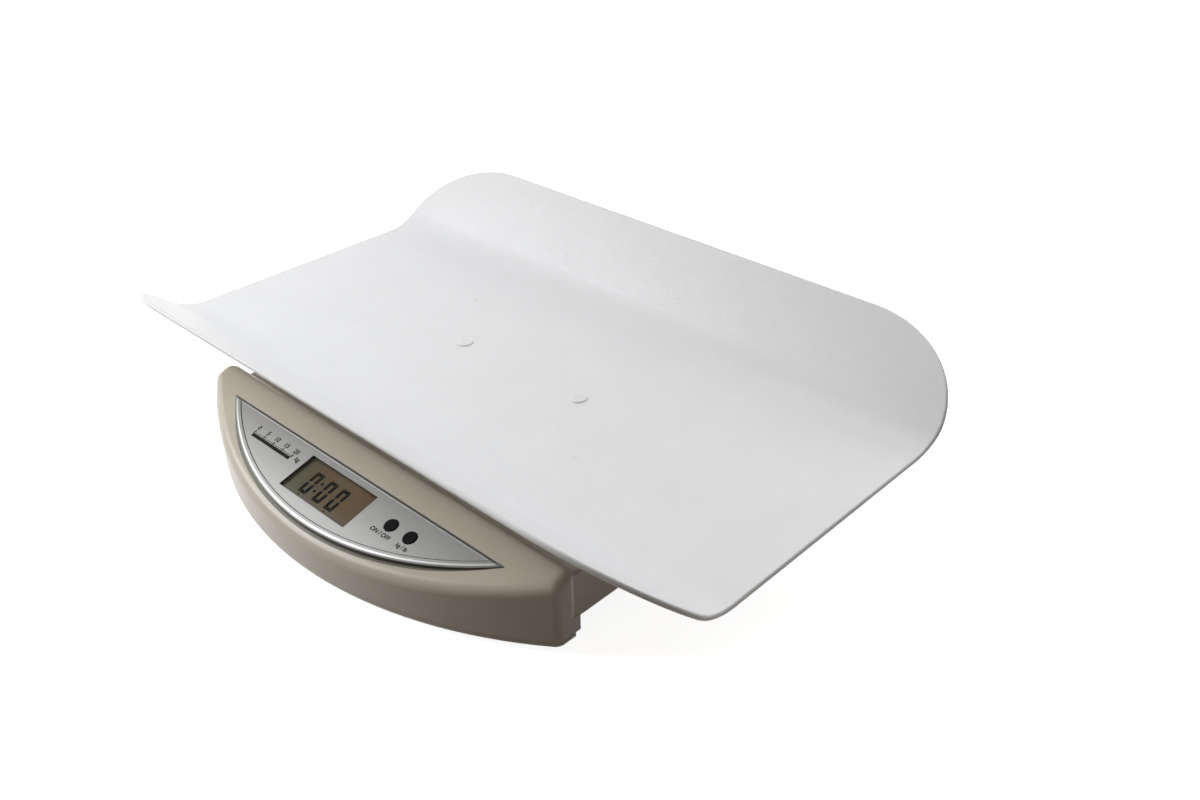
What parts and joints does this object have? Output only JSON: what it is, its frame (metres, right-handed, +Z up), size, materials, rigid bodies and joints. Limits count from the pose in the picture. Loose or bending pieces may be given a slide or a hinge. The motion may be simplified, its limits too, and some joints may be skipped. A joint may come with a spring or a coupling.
{
  "type": "baby weighing scale",
  "caption": "Electronic baby scale: a long trough-shaped tray on a load cell over a low housing with a bow-fronted sloping console, display and push buttons.",
  "frame": {"origin": "middle of the whole footprint, on the surface the feet stand on", "axes": "+X along the tray, to the reader's right; +Y from the display to the back; +Z up"},
  "size_m": [0.55, 0.3802, 0.1141],
  "materials": {
    "cover_plastic": "moulded ABS, satin gloss, warm cream",
    "tray_plastic": "moulded polystyrene, fine leather grain, white",
    "cap_plastic": "moulded, smooth white",
    "bezel_silver": "silver lacquer with a fine metallic flake, bevelled rim",
    "window_clear": "clear acrylic",
    "lcd_glass": "reflective liquid crystal cell, olive brown",
    "button_black": "moulded black, finely grained face",
    "inner_black": "moulded nylon",
    "holder_white": "moulded ABS",
    "foam": "closed-cell foam or film",
    "board_green": "glass-epoxy laminate under green solder mask",
    "aluminium": "milled or cast, bare",
    "steel": "zinc-plated",
    "brass": "turned",
    "rubber_grey": "moulded, matt",
    "potting_white": "silicone",
    "lead_black": "PVC sheath",
    "battery_wrap": "plain printed film over steel can"
  },
  "bodies": {
    "base": {"base_lower_cover": "cover_plastic", "base_upper_cover": "cover_plastic", "battery_1": "battery_wrap", "battery_2": "battery_wrap", "battery_3": "battery_wrap", "battery_4": "battery_wrap", "battery_contact_plates": "steel", "battery_contact_springs": "steel", "bezel_adhesive": "foam", "bezel_plate": "bezel_silver", "board_screws": "steel", "case_screws": "steel", "circuit_components": "inner_black", "display_gasket": "foam", "display_window": "window_clear", "foot_front_left": "rubber_grey", "foot_front_right": "rubber_grey", "foot_rear_left": "rubber_grey", "foot_rear_right": "rubber_grey", "lcd_holder": "holder_white", "lcd_panel": "lcd_glass", "lcd_rubber_connectors": "foam", "load_cell": "aluminium", "load_cell_base_bolts": "steel", "load_cell_lead": "lead_black", "load_cell_lower_spacer": "steel", "main_circuit_board": "board_green", "overload_stop_nuts": "steel", "overload_stop_screws": "steel", "plate_screws": "steel", "power_inlet": "inner_black", "power_leads": "lead_black", "stiffening_plate": "steel", "strain_gauge_covers": "potting_white", "tact_switches": "inner_black"},
    "weighing_platform": {"load_cell_upper_spacer": "steel", "load_cell_frame_bolts": "steel", "tray_support_frame": "aluminium", "tray_cushion_pads": "rubber_grey", "tray_thread_inserts": "brass", "tray": "tray_plastic", "tray_screws": "steel", "tray_screw_caps": "cap_plastic"},
    "on_off_key": {"on_off_button": "button_black", "on_off_switch_stem": "inner_black"},
    "unit_key": {"unit_button": "button_black", "unit_switch_stem": "inner_black"},
    "door": {"battery_door": "cover_plastic"}
  },
  "joints": [
    {"name": "platform_deflection", "type": "slide", "parent": "base", "child": "weighing_platform", "axis": [0, 0, 1], "range_m": [-0.0008, 0], "stiffness_N_per_m": 300000, "deforming": ["load_cell"]},
    {"name": "on_off_press", "type": "slide", "parent": "base", "child": "on_off_key", "axis": [0, 0.2672, -0.9636], "range_m": [0, 0.0008], "stiffness_N_per_m": 2000},
    {"name": "unit_press", "type": "slide", "parent": "base", "child": "unit_key", "axis": [0, 0.2672, -0.9636], "range_m": [0, 0.0008], "stiffness_N_per_m": 2000},
    {"name": "battery_door_hinge", "type": "hinge", "parent": "base", "child": "door", "pos_m": [-0.1395, -0.01947, 0.0187], "axis": [-1, 0, 0], "range_deg": [0, 75]}
  ]
}
